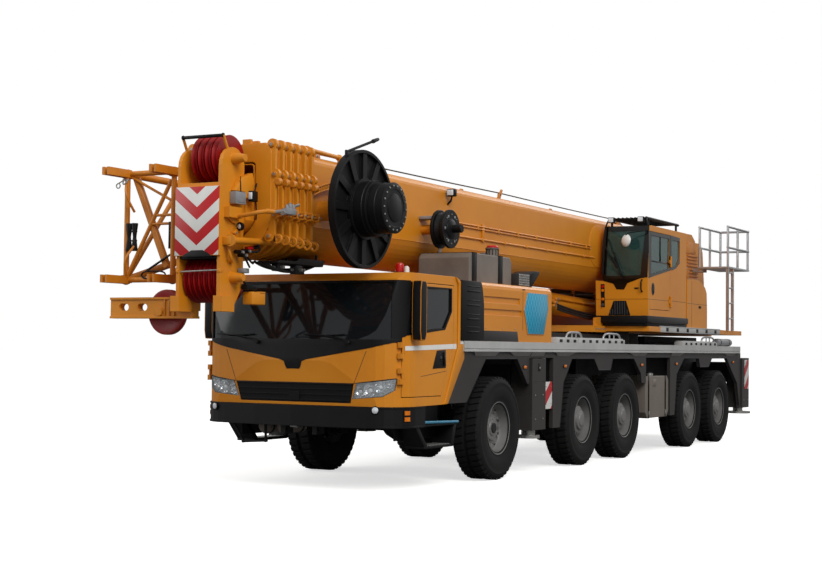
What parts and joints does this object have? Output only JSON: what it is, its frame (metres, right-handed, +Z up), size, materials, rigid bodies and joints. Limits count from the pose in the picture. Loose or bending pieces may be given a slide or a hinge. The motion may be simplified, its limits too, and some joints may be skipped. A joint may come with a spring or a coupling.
{
  "type": "mobile crane",
  "caption": "All-terrain telescopic crane in road-travel position: carrier with driver's cab and steered axles, slewing superstructure, nested boom, luffing cylinder and outriggers.",
  "frame": {"origin": "bottom centre of the whole box, on the ground under the middle of the length", "axes": "+Y towards the rear, the front faces -Y, +X is the crane's left side, +Z up"},
  "size_m": [2.91, 15.62, 3.902],
  "materials": {
    "frame_paint": "satin",
    "deck_paint": "satin",
    "panel_grey": "satin",
    "cab_paint": "gloss",
    "crane_paint": "gloss",
    "glass": "tinted",
    "black_trim": "matt",
    "lamp": "clear",
    "interior": "woven",
    "engine": "painted",
    "tank": "brushed",
    "rail": "mill",
    "rod": "ground",
    "sheave": "satin",
    "tyre": "matt"
  },
  "bodies": {
    "carrier": {"chassis_frame": "frame_paint", "axles": "frame_paint", "deck": "deck_paint", "side_panels": "panel_grey", "cab_shell": "cab_paint", "cab_glass": "glass", "front_trim": "black_trim", "headlamps": "lamp", "cab_interior": "interior", "engine_hood": "cab_paint", "engine_block": "engine", "tanks": "tank"},
    "superstructure": {"turntable": "crane_paint", "op_cab_shell": "cab_paint", "op_cab_glass": "glass", "op_cab_interior": "interior", "railing": "rail"},
    "op_cab_door": {"op_cab_door": "cab_paint", "op_door_glass": "glass"},
    "winch_drum": {"winch_drum": "engine"},
    "luff_barrel": {"luff_barrel": "crane_paint"},
    "luff_rod": {"luff_rod": "rod"},
    "boom_base": {"boom_base": "crane_paint", "jib": "crane_paint"},
    "boom_head": {"boom_head": "crane_paint", "head_frame": "crane_paint"},
    "upper_sheaves": {"upper_sheaves": "sheave"},
    "lower_sheaves": {"lower_sheaves": "sheave"},
    "cable_reel": {"cable_reel": "black_trim"},
    "cab_door_left": {"cab_door_left": "cab_paint", "cab_door_glass_left": "glass"},
    "knuckle_1_left": {"knuckle_1_left": "frame_paint"},
    "knuckle_2_left": {"knuckle_2_left": "frame_paint"},
    "wheel_1_left": {"wheel_1_left": "tyre"},
    "wheel_2_left": {"wheel_2_left": "tyre"},
    "wheel_3_left": {"wheel_3_left": "tyre"},
    "wheel_4_left": {"wheel_4_left": "tyre"},
    "wheel_5_left": {"wheel_5_left": "tyre"},
    "outrigger_front_left": {"outrigger_front_left": "panel_grey"},
    "jack_front_left": {"jack_front_left": "rod"},
    "outrigger_rear_left": {"outrigger_rear_left": "panel_grey"},
    "jack_rear_left": {"jack_rear_left": "rod"},
    "cab_door_right": {"cab_door_right": "cab_paint", "cab_door_glass_right": "glass"},
    "knuckle_1_right": {"knuckle_1_right": "frame_paint"},
    "knuckle_2_right": {"knuckle_2_right": "frame_paint"},
    "wheel_1_right": {"wheel_1_right": "tyre"},
    "wheel_2_right": {"wheel_2_right": "tyre"},
    "wheel_3_right": {"wheel_3_right": "tyre"},
    "wheel_4_right": {"wheel_4_right": "tyre"},
    "wheel_5_right": {"wheel_5_right": "tyre"},
    "outrigger_front_right": {"outrigger_front_right": "panel_grey"},
    "jack_front_right": {"jack_front_right": "rod"},
    "outrigger_rear_right": {"outrigger_rear_right": "panel_grey"},
    "jack_rear_right": {"jack_rear_right": "rod"},
    "boom_section_2": {"boom_section_2": "crane_paint"},
    "boom_section_3": {"boom_section_3": "crane_paint"},
    "boom_section_4": {"boom_section_4": "crane_paint"},
    "boom_section_5": {"boom_section_5": "crane_paint"},
    "boom_section_6": {"boom_section_6": "crane_paint"}
  },
  "joints": [
    {"name": "slew", "type": "hinge", "parent": "carrier", "child": "superstructure", "pos_m": [0, 3.16, 1.756], "axis": [0, 0, 1], "continuous": true},
    {"name": "luff", "type": "hinge", "parent": "superstructure", "child": "boom_base", "pos_m": [0, 6.16, 3], "axis": [-1, 0, 0], "range_deg": [0, 82]},
    {"name": "luff_barrel_tilt", "type": "hinge", "parent": "superstructure", "child": "luff_barrel", "pos_m": [0, 3.86, 2.23], "axis": [-1, 0, 0], "range_deg": [0, 95]},
    {"name": "luff_rod_slide", "type": "slide", "parent": "luff_barrel", "child": "luff_rod", "axis": [0, -0.9995, 0.0326], "range_m": [0, 3]},
    {"name": "winch_spin", "type": "hinge", "parent": "superstructure", "child": "winch_drum", "pos_m": [0, 7.26, 3.3], "axis": [1, 0, 0], "continuous": true},
    {"name": "op_cab_door_swing", "type": "hinge", "parent": "superstructure", "child": "op_cab_door", "pos_m": [1.346, 3.066, 2.78], "axis": [0, 0, 1], "range_deg": [0, 90]},
    {"name": "cab_door_left_swing", "type": "hinge", "parent": "carrier", "child": "cab_door_left", "pos_m": [1.29, -5.786, 1.4], "axis": [0, 0, -1], "range_deg": [0, 70]},
    {"name": "cab_door_right_swing", "type": "hinge", "parent": "carrier", "child": "cab_door_right", "pos_m": [-1.29, -5.786, 1.4], "axis": [0, 0, 1], "range_deg": [0, 70]},
    {"name": "upper_sheaves_spin", "type": "hinge", "parent": "boom_head", "child": "upper_sheaves", "pos_m": [0, -7.5, 3.525], "axis": [1, 0, 0], "continuous": true},
    {"name": "lower_sheaves_spin", "type": "hinge", "parent": "boom_head", "child": "lower_sheaves", "pos_m": [0, -7.5, 2.285], "axis": [1, 0, 0], "continuous": true},
    {"name": "cable_reel_spin", "type": "hinge", "parent": "boom_base", "child": "cable_reel", "pos_m": [0.95, -6.19, 3.09], "axis": [1, 0, 0], "continuous": true},
    {"name": "telescope_section_2", "type": "slide", "parent": "boom_base", "child": "boom_section_2", "axis": [0, -1, 0], "range_m": [0, 8.4]},
    {"name": "telescope_section_3", "type": "slide", "parent": "boom_section_2", "child": "boom_section_3", "axis": [0, -1, 0], "range_m": [0, 8.4]},
    {"name": "telescope_section_4", "type": "slide", "parent": "boom_section_3", "child": "boom_section_4", "axis": [0, -1, 0], "range_m": [0, 8.4]},
    {"name": "telescope_section_5", "type": "slide", "parent": "boom_section_4", "child": "boom_section_5", "axis": [0, -1, 0], "range_m": [0, 8.4]},
    {"name": "telescope_section_6", "type": "slide", "parent": "boom_section_5", "child": "boom_section_6", "axis": [0, -1, 0], "range_m": [0, 8.4]},
    {"name": "telescope_head", "type": "slide", "parent": "boom_section_6", "child": "boom_head", "axis": [0, -1, 0], "range_m": [0, 8.4]},
    {"name": "steer_1_left", "type": "hinge", "parent": "carrier", "child": "knuckle_1_left", "pos_m": [0.96, -3.44, 0.63], "axis": [0, 0, 1], "range_deg": [-30, 30]},
    {"name": "steer_1_right", "type": "hinge", "parent": "carrier", "child": "knuckle_1_right", "pos_m": [-0.96, -3.44, 0.63], "axis": [0, 0, 1], "range_deg": [-30, 30]},
    {"name": "steer_2_left", "type": "hinge", "parent": "carrier", "child": "knuckle_2_left", "pos_m": [0.96, -0.69, 0.63], "axis": [0, 0, 1], "range_deg": [-19, 19]},
    {"name": "steer_2_right", "type": "hinge", "parent": "carrier", "child": "knuckle_2_right", "pos_m": [-0.96, -0.69, 0.63], "axis": [0, 0, 1], "range_deg": [-19, 19]},
    {"name": "wheel_1_left_spin", "type": "hinge", "parent": "knuckle_1_left", "child": "wheel_1_left", "pos_m": [1.1825, -3.44, 0.63], "axis": [1, 0, 0], "continuous": true},
    {"name": "wheel_1_right_spin", "type": "hinge", "parent": "knuckle_1_right", "child": "wheel_1_right", "pos_m": [-1.1825, -3.44, 0.63], "axis": [1, 0, 0], "continuous": true},
    {"name": "wheel_2_left_spin", "type": "hinge", "parent": "knuckle_2_left", "child": "wheel_2_left", "pos_m": [1.1825, -0.69, 0.63], "axis": [1, 0, 0], "continuous": true},
    {"name": "wheel_2_right_spin", "type": "hinge", "parent": "knuckle_2_right", "child": "wheel_2_right", "pos_m": [-1.1825, -0.69, 0.63], "axis": [1, 0, 0], "continuous": true},
    {"name": "wheel_3_left_spin", "type": "hinge", "parent": "carrier", "child": "wheel_3_left", "pos_m": [1.1825, 0.96, 0.63], "axis": [1, 0, 0], "continuous": true},
    {"name": "wheel_3_right_spin", "type": "hinge", "parent": "carrier", "child": "wheel_3_right", "pos_m": [-1.1825, 0.96, 0.63], "axis": [1, 0, 0], "continuous": true},
    {"name": "wheel_4_left_spin", "type": "hinge", "parent": "carrier", "child": "wheel_4_left", "pos_m": [1.1825, 4.04, 0.63], "axis": [1, 0, 0], "continuous": true},
    {"name": "wheel_4_right_spin", "type": "hinge", "parent": "carrier", "child": "wheel_4_right", "pos_m": [-1.1825, 4.04, 0.63], "axis": [1, 0, 0], "continuous": true},
    {"name": "wheel_5_left_spin", "type": "hinge", "parent": "carrier", "child": "wheel_5_left", "pos_m": [1.1825, 5.69, 0.63], "axis": [1, 0, 0], "continuous": true},
    {"name": "wheel_5_right_spin", "type": "hinge", "parent": "carrier", "child": "wheel_5_right", "pos_m": [-1.1825, 5.69, 0.63], "axis": [1, 0, 0], "continuous": true},
    {"name": "outrigger_front_left_slide", "type": "slide", "parent": "carrier", "child": "outrigger_front_left", "axis": [1, 0, 0], "range_m": [0, 1.6]},
    {"name": "jack_front_left_slide", "type": "slide", "parent": "outrigger_front_left", "child": "jack_front_left", "axis": [0, 0, -1], "range_m": [0, 0.6]},
    {"name": "outrigger_front_right_slide", "type": "slide", "parent": "carrier", "child": "outrigger_front_right", "axis": [-1, 0, 0], "range_m": [0, 1.6]},
    {"name": "jack_front_right_slide", "type": "slide", "parent": "outrigger_front_right", "child": "jack_front_right", "axis": [0, 0, -1], "range_m": [0, 0.6]},
    {"name": "outrigger_rear_left_slide", "type": "slide", "parent": "carrier", "child": "outrigger_rear_left", "axis": [1, 0, 0], "range_m": [0, 1.6]},
    {"name": "jack_rear_left_slide", "type": "slide", "parent": "outrigger_rear_left", "child": "jack_rear_left", "axis": [0, 0, -1], "range_m": [0, 0.6]},
    {"name": "outrigger_rear_right_slide", "type": "slide", "parent": "carrier", "child": "outrigger_rear_right", "axis": [-1, 0, 0], "range_m": [0, 1.6]},
    {"name": "jack_rear_right_slide", "type": "slide", "parent": "outrigger_rear_right", "child": "jack_rear_right", "axis": [0, 0, -1], "range_m": [0, 0.6]}
  ],
  "couplings": [
    {"joint": "luff_barrel_tilt", "follows": "luff", "ratio": 1.142},
    {"joint": "luff_rod_slide", "follows": "luff", "m_per_rad": 2.0606},
    {"joint": "steer_1_right", "follows": "steer_1_left", "ratio": 1},
    {"joint": "steer_2_left", "follows": "steer_1_left", "ratio": 0.62},
    {"joint": "steer_2_right", "follows": "steer_1_left", "ratio": 0.62}
  ]
}
